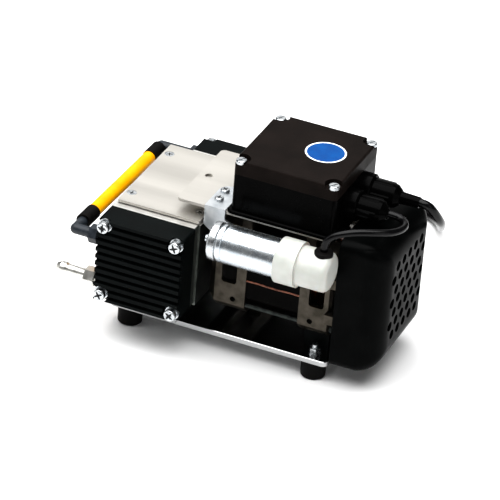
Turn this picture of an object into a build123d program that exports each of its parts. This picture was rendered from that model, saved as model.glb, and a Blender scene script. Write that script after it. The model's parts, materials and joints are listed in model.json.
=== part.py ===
from build123d import *
import math
import os

# Two-stage diaphragm vacuum pump: an electric motor turns one eccentric, which works two
# opposed diaphragm heads.  +X runs along the motor shaft towards the fan, -Y is the front
# and +Z is up.  The origin is the centre of the four rubber feet, on the floor.
# All sizes are in millimetres.

os.makedirs("parts", exist_ok=True)

# ---- driving dimensions -------------------------------------------------------------
fit_gap = 0.05              # radial running clearance of shafts and bearings
touch_gap = 0.3             # space left between a loose piece and its seat

# base and feet
base_length = 184.0
base_width = 98.0
base_thick = 4.2
base_corner = 5.0
foot_pitch_x = 156.0
foot_pitch_y = 77.7
foot_height = 15.4
foot_radius = 9.8
stud_radius = 2.5
insert_radius = 2.1
insert_depth = 5.5
nut_flats = 8.0
nut_height = 4.0

# shaft line
axis_z = 73.5
throw = 1.5                 # eccentricity of the crank
shaft_radius = 4.95

# heads
head_size = 71.0
head_corner = 1.5
front_head_x = -57.0
head_stagger = 18.4         # the rods lie side by side, so the heads are staggered
case_face = 56.0            # distance from the shaft line to the diaphragm seat
valve_plate_thick = 8.5
cover_thick = 16.5
head_screw_edge = 5.5       # distance of the head screws from the edges
head_screw_radius = 2.0
groove_width = 3.1
groove_depth = 3.0
groove_count = 11
groove_margin = 4.0         # flat left above the first groove and below the last
recess_radius = 7.0
recess_depth = 4.5
screw_head_radius = 4.8
screw_head_height = 3.8
washer_thick = 1.2
washer_radius = 5.6
spring_washer_thick = 2.0
spring_washer_radius = 4.2
port_radius = 4.3
port_offset = 8.3           # distance of the port axes out from the cover's inner face
port_rise = 17.0            # the cover's two ports lie unevenly about its middle,
port_drop = 21.0            # and the rear cover is the same casting turned over
port_depth = 14.0

# diaphragm and valves
diaphragm_radius = 30.8
diaphragm_thick = 2.0
bore_radius = 24.0
chamber_depth = 5.3
clamp_radius = 17.0
clamp_thick = 1.5
flap_radius = 8.8
flap_thick = 0.8
flap_offset = 13.0

# connecting rods and eccentric
rod_width = 12.0
rod_eye_radius = 17.0
rod_bearing_radius = 13.0
rod_bearing_width = 10.0
eccentric_radius = 9.0
piston_radius = 18.0
piston_thick = 4.0
counterweight_radius = 24.0

# crankcase
case_right = -20.0
case_wall = 5.0
case_side = 49.5            # half the width of the body and of its lid
case_lid_thick = 2.2
gasket_thick = 0.8
pedestal_length = 32.0
pedestal_width = 62.0

# motor
motor_left = -14.0
stack_left = 18.3
stack_right = 62.7
motor_right = 89.0
bracket_half_width = 43.0
bracket_half_height = 37.0
bracket_chamfer = 7.0
bracket_wall = 5.0
window_offset = 14.2        # places in a bracket, measured from its open end
drain_offset = 10.0
post_offset = 4.2
post_pitch = 66.0
window_width = 12.5
stack_half_width = 42.0
stack_half_height = 35.0
stack_chamfer = 14.0
rotor_radius = 21.5
air_gap = 0.5
bearing_radius = 13.0
bearing_width = 8.0
tie_bolt_y = 39.5
tie_bolt_z = 28.7
tie_bolt_radius = 2.0
saddle_offset = 3.3         # from the stack's right end to the saddle
saddle_length = 20.0
saddle_width = 64.0
saddle_wall = 3.0
saddle_roof = 2.5

# fan and its cover
cover_gap = 2.0             # from the end of the base plate to the fan cover
cover_depth = 39.3
cover_half_width = 50.6
cover_half_height = 55.5
cover_wall = 2.2
cover_corner = 8.5
cover_round = 20.0
ear_pitch = 32.0            # spacing of the bracket ears that carry the cover
clip_y = 30.0
clip_width = 6.0
clip_thick = 0.8
grille_hole_radius = 4.0
grille_pitch = 12.0
grille_row = 10.2
grille_rise = 2.7           # height of the grille's middle above the shaft
fan_radius = 38.0
fan_width = 14.0
blade_count = 7

# mounting plate, strap and capacitor
plate_left = -44.0
plate_right = 80.0
plate_half_width = 43.3
plate_top = 124.0
plate_thick = 2.4
plate_hole_radius = 3.0
strap_width = 17.0
strap_thick = 1.8
strap_reach = 8.4           # the strap's flange stands this far right of its leaf
leaf_drop = 18.0            # how far the leaf hangs below the plate's top
can_y = -65.0
can_z = 109.8
can_radius = 15.3
can_length = 61.0
cap_thick = 6.6
collar_left = 52.7
collar_right = 70.0
collar_radius = 18.0
boot_right = 95.2
boot_radius = 15.8
boot_round = 5.0
grommet_x = 87.0
grommet_radius = 7.2
grommet_height = 1.8

# terminal box
box_right = 85.0
box_size = 84.8
box_height = 46.0
box_wall = 3.0
box_corner = 4.0
box_flange = 2.6            # how far the foot flange stands out from the walls
box_flange_thick = 3.0
lid_height = 12.5
lid_screw_inset = 4.4
lid_screw_height = 3.0
notch_radius = 7.2
notch_depth = 4.0
gland_rise = 18.7           # height of the glands above the mounting plate
gland_pitch = 28.0
gland_base_radius = 12.5
gland_base_length = 9.5
gland_flats = 18.0
gland_nut_length = 15.3
gland_dome_radius = 9.8
gland_dome_length = 7.0

# hose line
front_bend_x = -113.5
rear_bend_x = -108.1
hose_radius = 5.5
hose_bore = 3.8
sleeve_radius = 6.1
sleeve_length = 17.0
sleeve_overlap = 10.0       # length of hose inside each sleeve
front_sleeve_start = 12.0   # distance of the front sleeve from its elbow's bend
rear_sleeve_start = 4.7
elbow_radius = 4.3
hex_flats = 13.0
hex_height = 7.0

# leads
lead_diameter = 5.6
mains_diameter = 7.0
mains_sleeve_length = 15.2
coil_centre = (28.0, 150.0)
coil_radius = 36.0
coil_turns_wide = 3
coil_turns_high = 2
plug_y = 118.0
plug_height = 13.5
plug_length = 34.0

# ---- places worked out from them ----------------------------------------------------
base_top = foot_height + base_thick
pin_z = axis_z + throw
rear_head_x = front_head_x + head_stagger
plate_face = case_face + valve_plate_thick
head_outer = plate_face + cover_thick
port_reach = plate_face + port_offset
head_screw_pitch = head_size - 2 * head_screw_edge
rib_pitch = (head_size - 2 * groove_margin) / (groove_count - 1)
plate_bottom = plate_top - plate_thick
case_left = front_head_x - head_size / 2 + 0.5
case_top = axis_z + head_size / 2
case_bottom = axis_z - head_size / 2 - 0.5
case_length = case_right - case_left
case_mid_x = (case_left + case_right) / 2
cover_left = base_length / 2 + cover_gap
cover_right = cover_left + cover_depth
cover_top = axis_z + cover_half_height
cover_bottom = axis_z - cover_half_height
box_left = box_right - box_size
box_mid_x = box_right - box_size / 2
box_top = plate_top + box_height
box_seam = box_top - lid_height
box_screw_pitch = box_size - 2 * lid_screw_inset
strap_right = box_left - box_flange - touch_gap
strap_left = strap_right - strap_width
flange_right = strap_right + strap_reach
gland_z = plate_top + gland_rise
mains_gland_y = gland_pitch / 2
lead_gland_y = -gland_pitch / 2
plug_z = plug_height / 2


def keep(piece, name):
    """Name a finished piece and write its STEP file."""
    piece.part.label = name
    export_step(piece.part, f"parts/{name}.step")


def across_shaft(x):
    """Plane square to the shaft at x: local x is +Y, local y is +Z."""
    return Plane(origin=(x, 0, axis_z), x_dir=(0, 1, 0), z_dir=(1, 0, 0))


def head_plane(side, head_x, reach):
    """Plane facing outwards on one head, centred on its cylinder."""
    return Plane(origin=(head_x, side * reach, axis_z), x_dir=(1, 0, 0), z_dir=(0, side, 0))


def port_plane(head_x, side, port_z):
    """Plane on the left face of a head, centred on a port and facing outwards."""
    left_face = head_x - head_size / 2
    return Plane(origin=(left_face, side * port_reach, port_z), x_dir=(0, 1, 0), z_dir=(-1, 0, 0))


def port_heights(side):
    """Heights of the upper and the lower port of the front (-1) or the rear (1) head."""
    if side == -1:
        return axis_z + port_rise, axis_z - port_drop
    return axis_z + port_drop, axis_z - port_rise


def hexagon_radius(flats):
    """Corner radius of a hexagon from its width across the flats."""
    return flats / math.sqrt(3)


# ---- base plate ---------------------------------------------------------------------
with BuildPart() as base_plate:
    with BuildSketch(Plane.XY.offset(foot_height)):
        RectangleRounded(base_length, base_width, base_corner)
        with GridLocations(foot_pitch_x, foot_pitch_y, 2, 2):
            Circle(stud_radius + touch_gap, mode=Mode.SUBTRACT)
    extrude(amount=base_thick)
    chamfer(base_plate.faces().sort_by(Axis.Z)[-1].outer_wire().edges(), length=0.4)
keep(base_plate, "base_plate")

# ---- rubber feet: turned blocks with a blind insert below and a stud socket above -----
with BuildPart() as rubber_feet:
    with GridLocations(foot_pitch_x, foot_pitch_y, 2, 2):
        Cylinder(foot_radius, foot_height, align=(Align.CENTER, Align.CENTER, Align.MIN))
    fillet(rubber_feet.faces().sort_by(Axis.Z)[:4].edges(), radius=2.0)
    with BuildSketch(Plane.XY):
        with GridLocations(foot_pitch_x, foot_pitch_y, 2, 2):
            Circle(insert_radius)
    extrude(amount=insert_depth, mode=Mode.SUBTRACT)
    with BuildSketch(Plane.XY.offset(foot_height)):
        with GridLocations(foot_pitch_x, foot_pitch_y, 2, 2):
            Circle(stud_radius)
    extrude(amount=-6.0, mode=Mode.SUBTRACT)
keep(rubber_feet, "rubber_feet")

# ---- foot fixings: a stud and a nut on each foot --------------------------------------
stud_length = 6.0 + base_thick + nut_height + 4.0
with BuildPart() as foot_fixings:
    with BuildSketch(Plane.XY.offset(foot_height - 6.0)):
        with GridLocations(foot_pitch_x, foot_pitch_y, 2, 2):
            Circle(stud_radius)
    extrude(amount=stud_length)
    with BuildSketch(Plane.XY.offset(base_top)):
        with GridLocations(foot_pitch_x, foot_pitch_y, 2, 2):
            Circle(nut_flats * 0.62)
    extrude(amount=1.0)
    with BuildSketch(Plane.XY.offset(base_top + 1.0)):
        with GridLocations(foot_pitch_x, foot_pitch_y, 2, 2):
            RegularPolygon(hexagon_radius(nut_flats), 6)
    extrude(amount=nut_height)
keep(foot_fixings, "foot_fixings")


# ---- crankcase: open-topped casting with a flange for each head ------------------------
with BuildPart() as crankcase:
    with BuildSketch(Plane.XY.offset(case_bottom)):
        with Locations((case_mid_x, 0)):
            Rectangle(case_length, 2 * case_side)
    extrude(amount=case_top - case_bottom)
    for side, head_x in ((-1, front_head_x), (1, rear_head_x)):
        with BuildSketch(head_plane(side, head_x, case_face)):
            RectangleRounded(head_size, head_size, head_corner)
        extrude(amount=case_side - case_face)
    with BuildSketch(Plane.XY.offset(case_top)):
        with Locations((case_mid_x, 0)):
            RectangleRounded(case_length - 2 * case_wall, 2 * (case_side - 2 * case_wall), 6.0)
    extrude(amount=case_bottom + case_wall - case_top, mode=Mode.SUBTRACT)
    for side, head_x in ((-1, front_head_x), (1, rear_head_x)):
        with BuildSketch(head_plane(side, head_x, case_face)):
            Circle(bore_radius)
        extrude(amount=-case_face / 3, mode=Mode.SUBTRACT)
        with BuildSketch(head_plane(side, head_x, case_face)):
            with GridLocations(head_screw_pitch, head_screw_pitch, 2, 2):
                Circle(head_screw_radius)
        extrude(amount=-7.0, mode=Mode.SUBTRACT)
    with BuildSketch(across_shaft(case_right)):
        Circle(shaft_radius + 2.0)
    extrude(amount=-case_wall, mode=Mode.SUBTRACT)
    with BuildSketch(Plane.XY.offset(base_top)):
        with Locations((case_mid_x, 0)):
            Rectangle(pedestal_length, pedestal_width)
    extrude(amount=case_bottom - base_top)
    with BuildSketch(Plane.XY.offset(base_top)):
        with Locations((case_mid_x, 0)):
            Rectangle(pedestal_length, pedestal_width + 14.0)
    extrude(amount=5.0)
keep(crankcase, "crankcase")

# ---- crankcase lid, its gasket and its screws ------------------------------------------
lid_length = case_length - 3.0
lid_screw_x = (case_length - 14.0) / 2
lid_screw_y = case_side - 14.5
case_lid_bottom = case_top + gasket_thick
case_lid_top = case_lid_bottom + case_lid_thick

with BuildPart() as case_gasket:
    with BuildSketch(Plane.XY.offset(case_top)):
        with Locations((case_mid_x, 0)):
            Rectangle(lid_length - 2.0, 2 * case_side - 2.0)
            Rectangle(case_length - 2 * case_wall, 2 * (case_side - 2 * case_wall), mode=Mode.SUBTRACT)
    extrude(amount=gasket_thick)
keep(case_gasket, "case_gasket")

with BuildPart() as case_lid:
    with BuildSketch(Plane.XY.offset(case_lid_bottom)):
        with Locations((case_mid_x, 0)):
            RectangleRounded(lid_length, 2 * case_side, 1.5)
    extrude(amount=case_lid_thick)
    with BuildSketch(Plane.XY.offset(case_lid_top)):
        with Locations((case_mid_x, 0)):
            with GridLocations(2 * lid_screw_x, 2 * lid_screw_y, 2, 2):
                Circle(4.0)
    extrude(amount=-1.6, mode=Mode.SUBTRACT)
keep(case_lid, "case_lid")

with BuildPart() as case_lid_screws:
    with BuildSketch(Plane.XY.offset(case_lid_top - 1.6)):
        with Locations((case_mid_x, 0)):
            with GridLocations(2 * lid_screw_x, 2 * lid_screw_y, 2, 2):
                Circle(3.9)
    extrude(amount=1.4)
keep(case_lid_screws, "case_lid_screws")


# ---- head pieces, made once for each side ----------------------------------------------
def make_head_cover(side, head_x):
    """Outer casting of a head: ribbed face, two gas pockets and two side ports."""
    with BuildPart() as cover:
        with BuildSketch(head_plane(side, head_x, plate_face)):
            RectangleRounded(head_size, head_size, head_corner)
        extrude(amount=cover_thick)
        with BuildSketch(head_plane(side, head_x, head_outer)):
            with GridLocations(0, rib_pitch, 1, groove_count):
                Rectangle(head_size, groove_width)
        extrude(amount=-groove_depth, mode=Mode.SUBTRACT)
        with BuildSketch(head_plane(side, head_x, head_outer)):
            with GridLocations(head_screw_pitch, head_screw_pitch, 2, 2):
                Circle(recess_radius)
        extrude(amount=-recess_depth, mode=Mode.SUBTRACT)
        with BuildSketch(head_plane(side, head_x, plate_face)):
            with GridLocations(head_screw_pitch, head_screw_pitch, 2, 2):
                Circle(head_screw_radius + touch_gap)
        extrude(amount=cover_thick, mode=Mode.SUBTRACT)
        with BuildSketch(head_plane(side, head_x, plate_face)):
            with GridLocations(0, 34.0, 1, 2):
                RectangleRounded(46.0, 22.0, 4.0)
        extrude(amount=9.0, mode=Mode.SUBTRACT)
        for port_z in port_heights(side):
            with BuildSketch(port_plane(head_x, side, port_z)):
                Circle(port_radius)
            extrude(amount=-port_depth, mode=Mode.SUBTRACT)
    return cover


def make_valve_plate(side, head_x):
    """Inner plate of a head: it holds the diaphragm's rim and seats the two flap valves."""
    with BuildPart() as plate:
        with BuildSketch(head_plane(side, head_x, case_face)):
            RectangleRounded(head_size, head_size, head_corner)
            with GridLocations(head_screw_pitch, head_screw_pitch, 2, 2):
                Circle(head_screw_radius + touch_gap, mode=Mode.SUBTRACT)
        extrude(amount=valve_plate_thick)
        with BuildSketch(head_plane(side, head_x, case_face)):
            Circle(diaphragm_radius + 0.2)
        extrude(amount=diaphragm_thick, mode=Mode.SUBTRACT)
        with BuildSketch(head_plane(side, head_x, case_face)):
            Circle(bore_radius)
        extrude(amount=chamber_depth, mode=Mode.SUBTRACT)
        with BuildSketch(head_plane(side, head_x, case_face + chamber_depth)):
            with Locations((0, -flap_offset)):
                Circle(flap_radius + 0.4)
        extrude(amount=flap_thick, mode=Mode.SUBTRACT)
        with BuildSketch(head_plane(side, head_x, plate_face)):
            with Locations((0, flap_offset)):
                Circle(flap_radius + 0.4)
        extrude(amount=-flap_thick, mode=Mode.SUBTRACT)
        with BuildSketch(head_plane(side, head_x, plate_face)):
            for flap_y in (flap_offset, -flap_offset):
                with Locations((0, flap_y)):
                    with PolarLocations(4.5, 4):
                        Circle(1.4)
        extrude(amount=-valve_plate_thick, mode=Mode.SUBTRACT)
    return plate


def make_diaphragm(side, head_x):
    """Rubber disc with a thick clamped rim, a thin working ring and an open centre."""
    centre_line = Axis((head_x, 0, axis_z), (0, 1, 0))
    inner = side * case_face
    outer = side * (case_face + diaphragm_thick)
    thin = side * (case_face + diaphragm_thick * 0.6)
    with BuildPart() as diaphragm:
        with BuildSketch(Plane(origin=(head_x, 0, axis_z), x_dir=(1, 0, 0), z_dir=(0, 0, 1))):
            with BuildLine():
                Polyline(
                    (throw + stud_radius, inner), (diaphragm_radius, inner), (diaphragm_radius, outer),
                    (bore_radius, outer), (bore_radius - 1.0, thin), (clamp_radius + 3.0, thin),
                    (clamp_radius + 2.0, outer), (throw + stud_radius, outer), close=True)
            make_face()
        revolve(axis=centre_line)
    return diaphragm


def make_clamp_disc(side, head_x):
    """Disc that clamps the diaphragm's centre to the rod, with the stud that holds it."""
    centre = Plane(origin=(head_x, side * (case_face + diaphragm_thick), pin_z),
                   x_dir=(1, 0, 0), z_dir=(0, side, 0))
    with BuildPart() as clamp_disc:
        with BuildSketch(centre):
            Circle(clamp_radius)
        extrude(amount=clamp_thick)
        with BuildSketch(centre):
            Circle(head_screw_radius)
        extrude(amount=-(diaphragm_thick + 8.0))
    return clamp_disc


def make_rod(side, head_x):
    """Connecting rod: a bearing eye, a waisted shank and the piston disc."""
    shank_start = rod_eye_radius - 2.0
    shank_end = case_face - piston_thick
    edge = Plane(origin=(head_x - rod_width / 2, 0, pin_z), x_dir=(0, 1, 0), z_dir=(1, 0, 0))
    disc = Plane(origin=(head_x, side * shank_end, pin_z), x_dir=(1, 0, 0), z_dir=(0, side, 0))
    with BuildPart() as rod:
        with BuildSketch(edge):
            Circle(rod_eye_radius)
            with BuildLine():
                Polyline(
                    (side * shank_start, 7.0), (side * shank_end, 5.0),
                    (side * shank_end, -5.0), (side * shank_start, -7.0), close=True)
            make_face()
            Circle(rod_bearing_radius, mode=Mode.SUBTRACT)
        extrude(amount=rod_width)
        with BuildSketch(disc):
            Circle(piston_radius)
        extrude(amount=piston_thick)
        with BuildSketch(disc):
            Circle(head_screw_radius)
        extrude(amount=piston_thick, mode=Mode.SUBTRACT)
        with BuildSketch(disc):
            Circle(head_screw_radius)
        extrude(amount=-4.0, mode=Mode.SUBTRACT)
    return rod


def make_rod_bearing(head_x):
    """Needle bearing pressed into a rod's eye."""
    with BuildPart() as bearing:
        with BuildSketch(Plane(origin=(head_x - rod_bearing_width / 2, 0, pin_z),
                               x_dir=(0, 1, 0), z_dir=(1, 0, 0))):
            Circle(rod_bearing_radius)
            Circle(eccentric_radius + fit_gap, mode=Mode.SUBTRACT)
        extrude(amount=rod_bearing_width)
    return bearing


heads = (("front", -1, front_head_x), ("rear", 1, rear_head_x))
for place, side, head_x in heads:
    keep(make_head_cover(side, head_x), f"{place}_head_cover")
    keep(make_valve_plate(side, head_x), f"{place}_valve_plate")
    keep(make_diaphragm(side, head_x), f"{place}_diaphragm")
    keep(make_clamp_disc(side, head_x), f"{place}_clamp_disc")
    keep(make_rod(side, head_x), f"{place}_rod")
    keep(make_rod_bearing(head_x), f"{place}_rod_bearing")

# ---- flap valves: an inlet and an outlet disc in each head -----------------------------
with BuildPart() as valve_flaps:
    for place, side, head_x in heads:
        with BuildSketch(head_plane(side, head_x, case_face + chamber_depth)):
            with Locations((0, -flap_offset)):
                Circle(flap_radius)
        extrude(amount=flap_thick)
        with BuildSketch(head_plane(side, head_x, plate_face)):
            with Locations((0, flap_offset)):
                Circle(flap_radius)
        extrude(amount=-flap_thick)
keep(valve_flaps, "valve_flaps")

# ---- head screws and washers -----------------------------------------------------------
with BuildPart() as head_washers:
    for place, side, head_x in heads:
        with BuildSketch(head_plane(side, head_x, head_outer - recess_depth)):
            with GridLocations(head_screw_pitch, head_screw_pitch, 2, 2):
                Circle(washer_radius)
                Circle(head_screw_radius + touch_gap, mode=Mode.SUBTRACT)
        extrude(amount=washer_thick)
        with BuildSketch(head_plane(side, head_x, head_outer - recess_depth + washer_thick)):
            with GridLocations(head_screw_pitch, head_screw_pitch, 2, 2):
                Circle(spring_washer_radius)
                Circle(head_screw_radius + touch_gap, mode=Mode.SUBTRACT)
        extrude(amount=spring_washer_thick)
keep(head_washers, "head_washers")

screw_seat = head_outer - recess_depth + washer_thick + spring_washer_thick
with BuildPart() as head_screws:
    for place, side, head_x in heads:
        with BuildSketch(head_plane(side, head_x, screw_seat)):
            with GridLocations(head_screw_pitch, head_screw_pitch, 2, 2):
                Circle(head_screw_radius)
        extrude(amount=-(screw_seat - case_face + 6.0))
        with BuildSketch(head_plane(side, head_x, screw_seat)):
            with GridLocations(head_screw_pitch, head_screw_pitch, 2, 2):
                Circle(screw_head_radius)
        extrude(amount=screw_head_height)
    outer_faces = head_screws.faces().sort_by(Axis.Y)
    fillet((outer_faces[:4] + outer_faces[-4:]).edges(), radius=1.2)
    for place, side, head_x in heads:
        with BuildSketch(head_plane(side, head_x, screw_seat + screw_head_height)):
            with GridLocations(head_screw_pitch, head_screw_pitch, 2, 2):
                Rectangle(5.0, 1.1, rotation=30)
                Rectangle(1.1, 5.0, rotation=30)
        extrude(amount=-1.5, mode=Mode.SUBTRACT)
keep(head_screws, "head_screws")

# ---- eccentric with its counterweight --------------------------------------------------
eccentric_left = front_head_x - rod_width / 2 - 1.0
eccentric_right = rear_head_x + rod_width / 2 + 1.0
with BuildPart() as eccentric:
    with BuildSketch(Plane(origin=(eccentric_left, 0, pin_z), x_dir=(0, 1, 0), z_dir=(1, 0, 0))):
        Circle(eccentric_radius)
    extrude(amount=eccentric_right - eccentric_left)
    with BuildSketch(across_shaft(eccentric_left - 6.0)):
        Circle(counterweight_radius)
        with Locations((0, counterweight_radius)):
            Rectangle(2 * counterweight_radius, 2 * counterweight_radius, mode=Mode.SUBTRACT)
        Circle(shaft_radius + 5.0)
    extrude(amount=6.0)
    with BuildSketch(across_shaft(eccentric_left - 6.0)):
        Circle(shaft_radius)
    extrude(amount=eccentric_right - eccentric_left + 6.0, mode=Mode.SUBTRACT)
keep(eccentric, "eccentric")

# ---- shaft and rotor -------------------------------------------------------------------
fan_left = cover_left + 4.0
shaft_left = eccentric_left - 8.0
shaft_right = fan_left + fan_width + 3.0
with BuildPart() as rotor_shaft:
    with BuildSketch(across_shaft(shaft_left)):
        Circle(shaft_radius)
    extrude(amount=shaft_right - shaft_left)
    chamfer(rotor_shaft.edges().filter_by(GeomType.CIRCLE), length=0.6)
keep(rotor_shaft, "rotor_shaft")

with BuildPart() as rotor_core:
    with BuildSketch(across_shaft(stack_left)):
        Circle(rotor_radius)
    extrude(amount=stack_right - stack_left)
    with BuildSketch(across_shaft(stack_left - 4.0)):
        Circle(rotor_radius - 2.5)
    extrude(amount=stack_right - stack_left + 8.0)
    with BuildSketch(across_shaft(stack_left - 4.0)):
        Circle(shaft_radius)
    extrude(amount=stack_right - stack_left + 8.0, mode=Mode.SUBTRACT)
keep(rotor_core, "rotor_core")

# ---- cooling fan: a hub with pitched blades --------------------------------------------
with BuildPart() as cooling_fan:
    with BuildSketch(across_shaft(fan_left)):
        Circle(shaft_radius + 5.0)
    extrude(amount=fan_width)
    for blade in range(blade_count):
        turn = math.radians(360.0 * blade / blade_count)
        outward = (0, math.cos(turn), math.sin(turn))
        hub_side = Plane(origin=(fan_left + fan_width / 2, 0, axis_z), x_dir=(1, 0, 0), z_dir=outward)
        with BuildSketch(hub_side.offset(shaft_radius + 3.0)):
            Rectangle(fan_width * 1.1, 1.8, rotation=38)
        extrude(amount=fan_radius - shaft_radius - 3.0)
    with BuildSketch(across_shaft(fan_left)):
        Circle(shaft_radius)
    extrude(amount=fan_width, mode=Mode.SUBTRACT)
keep(cooling_fan, "cooling_fan")


# ---- motor end brackets ----------------------------------------------------------------
def make_end_bracket(end_x, open_x):
    """Cast end bracket: an eight-sided cup with side windows and a bearing seat."""
    inward = 1 if open_x > end_x else -1
    window_x = open_x - inward * window_offset
    hole_x = open_x - inward * drain_offset
    post_x = open_x - inward * post_offset
    length = abs(open_x - end_x)
    end_wall = bearing_width + 1.0
    ear_reach = cover_half_width - cover_wall - bracket_half_width
    with BuildPart() as bracket:
        with BuildSketch(across_shaft(end_x)) as outline:
            Rectangle(2 * bracket_half_width, 2 * bracket_half_height)
            chamfer(outline.vertices(), length=bracket_chamfer)
        extrude(amount=inward * length)
        end_face = bracket.faces().sort_by(Axis.X)[0 if inward == 1 else -1]
        chamfer(end_face.edges(), length=6.5 if inward == 1 else 2.0)
        with BuildSketch(across_shaft(end_x + inward * end_wall)) as hollow:
            Rectangle(2 * (bracket_half_width - bracket_wall), 2 * (bracket_half_height - bracket_wall))
            chamfer(hollow.vertices(), length=16.0)
        extrude(amount=inward * (length - end_wall), mode=Mode.SUBTRACT)
        with BuildSketch(across_shaft(end_x + inward * end_wall)):
            Circle(bearing_radius)
        extrude(amount=-inward * bearing_width, mode=Mode.SUBTRACT)
        with BuildSketch(across_shaft(end_x)):
            Circle(shaft_radius + 2.0)
        extrude(amount=inward * length, mode=Mode.SUBTRACT)
        with BuildSketch(Plane.XZ):
            with Locations((window_x, axis_z + 6.5)):
                RectangleRounded(window_width, 36.0, 2.5)
            with Locations((hole_x, axis_z - 25.0)):
                Circle(2.2)
        extrude(amount=bracket_half_width + 1.0, both=True, mode=Mode.SUBTRACT)
        with BuildSketch(Plane.XY.offset(axis_z)):
            with Locations((window_x, 0)):
                RectangleRounded(window_width, 40.0, 2.5)
        extrude(amount=bracket_half_height + 1.0, both=True, mode=Mode.SUBTRACT)
        with BuildSketch(across_shaft(end_x)):
            with GridLocations(2 * tie_bolt_y, 2 * tie_bolt_z, 2, 2):
                Circle(tie_bolt_radius)
        extrude(amount=inward * length, mode=Mode.SUBTRACT)
        with BuildSketch(Plane.XY.offset(axis_z + bracket_half_height - 1.0)):
            with Locations((post_x, 0)):
                with GridLocations(0, post_pitch, 1, 2):
                    Rectangle(8.0, 12.0)
        extrude(amount=plate_bottom - axis_z - bracket_half_height + 1.0)
        if inward == 1:
            with BuildSketch(across_shaft(end_x)):
                Circle(24.0)
                Circle(shaft_radius + 2.0, mode=Mode.SUBTRACT)
            extrude(amount=case_right - end_x)
        else:
            with BuildSketch(across_shaft(end_x)):
                with PolarLocations(27.0, 8):
                    Circle(5.5)
            extrude(amount=-bearing_width - 2.0, mode=Mode.SUBTRACT)
            with BuildSketch(across_shaft(end_x - 3.0)):
                with GridLocations(2 * bracket_half_width - 4.0 + ear_reach, ear_pitch, 2, 2):
                    Rectangle(ear_reach + 4.0, 8.0)
            extrude(amount=cover_left + 8.0 - end_x + 3.0)
    return bracket


left_end_bracket = make_end_bracket(motor_left, stack_left)
keep(left_end_bracket, "left_end_bracket")
right_end_bracket = make_end_bracket(motor_right, stack_right)
keep(right_end_bracket, "right_end_bracket")

with BuildPart() as shaft_bearings:
    for bearing_left in (motor_left + 1.0, motor_right - 1.0 - bearing_width):
        with BuildSketch(across_shaft(bearing_left)):
            Circle(bearing_radius)
            Circle(shaft_radius + fit_gap, mode=Mode.SUBTRACT)
        extrude(amount=bearing_width)
keep(shaft_bearings, "shaft_bearings")

# ---- stator: lamination stack, windings and tie bolts ------------------------------------
with BuildPart() as stator_stack:
    with BuildSketch(across_shaft(stack_left)) as stack_outline:
        Rectangle(2 * stack_half_width, 2 * stack_half_height)
        chamfer(stack_outline.vertices(), length=stack_chamfer)
        Circle(rotor_radius + air_gap, mode=Mode.SUBTRACT)
    extrude(amount=stack_right - stack_left)
keep(stator_stack, "stator_stack")

with BuildPart() as stator_windings:
    for winding_left in (stack_left - 9.0, stack_right):
        with BuildSketch(across_shaft(winding_left)):
            Circle(rotor_radius + 8.5)
            Circle(rotor_radius + 1.0, mode=Mode.SUBTRACT)
        extrude(amount=9.0)
    fillet(stator_windings.edges().filter_by(GeomType.CIRCLE), radius=2.5)
keep(stator_windings, "stator_windings")

with BuildPart() as tie_bolts:
    with BuildSketch(across_shaft(motor_left + 8.0)):
        with GridLocations(2 * tie_bolt_y, 2 * tie_bolt_z, 2, 2):
            Circle(tie_bolt_radius)
    extrude(amount=motor_right + 3.0 - motor_left - 8.0)
    with BuildSketch(across_shaft(motor_right)):
        with GridLocations(2 * tie_bolt_y, 2 * tie_bolt_z, 2, 2):
            RegularPolygon(hexagon_radius(5.5), 6)
    extrude(amount=2.4)
keep(tie_bolts, "tie_bolts")

# ---- saddle under the right bracket -----------------------------------------------------
saddle_top = axis_z - bracket_half_height
with BuildPart() as motor_saddle:
    with BuildSketch(Plane.YZ.offset(stack_right + saddle_offset)):
        with Locations((0, (base_top + saddle_top) / 2)):
            Rectangle(saddle_width, saddle_top - base_top)
            Rectangle(saddle_width - 2 * saddle_wall, saddle_top - base_top - 2 * saddle_roof, mode=Mode.SUBTRACT)
    extrude(amount=saddle_length)
keep(motor_saddle, "motor_saddle")

# ---- fan cover: rounded box, open towards the motor, with a staggered grille ------------
with BuildPart() as fan_cover:
    with BuildSketch(across_shaft(cover_left)):
        RectangleRounded(2 * cover_half_width, 2 * cover_half_height, cover_corner)
    extrude(amount=cover_right - cover_left)
    fillet(fan_cover.faces().sort_by(Axis.X)[-1].edges(), radius=cover_round)
    offset(amount=-cover_wall, openings=fan_cover.faces().sort_by(Axis.X)[0])
    with BuildSketch(across_shaft(cover_right)):
        with Locations((0, grille_rise)):
            with GridLocations(grille_pitch, 2 * grille_row, 5, 4):
                Circle(grille_hole_radius)
            with GridLocations(grille_pitch, 2 * grille_row, 6, 3):
                Circle(grille_hole_radius)
    extrude(amount=-cover_wall - 1.0, mode=Mode.SUBTRACT)
keep(fan_cover, "fan_cover")

# spring clips pushed over the rim of the cover
with BuildPart() as cover_clips:
    for wall_top, up in ((cover_top, 1), (cover_bottom, -1)):
        with BuildSketch(Plane.XZ):
            with BuildLine():
                Polyline(
                    (cover_left + 7.0, wall_top), (cover_left + 7.0, wall_top + up * clip_thick),
                    (cover_left - clip_thick, wall_top + up * clip_thick),
                    (cover_left - clip_thick, wall_top - up * (cover_wall + clip_thick)),
                    (cover_left + 5.0, wall_top - up * (cover_wall + clip_thick)),
                    (cover_left + 5.0, wall_top - up * cover_wall),
                    (cover_left, wall_top - up * cover_wall), (cover_left, wall_top), close=True)
            make_face()
        clip = extrude(amount=clip_width / 2, both=True, mode=Mode.PRIVATE)
        for clip_side in (-1, 1):
            add(clip.moved(Location((0, clip_side * clip_y, 0))))
keep(cover_clips, "cover_clips")

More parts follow.
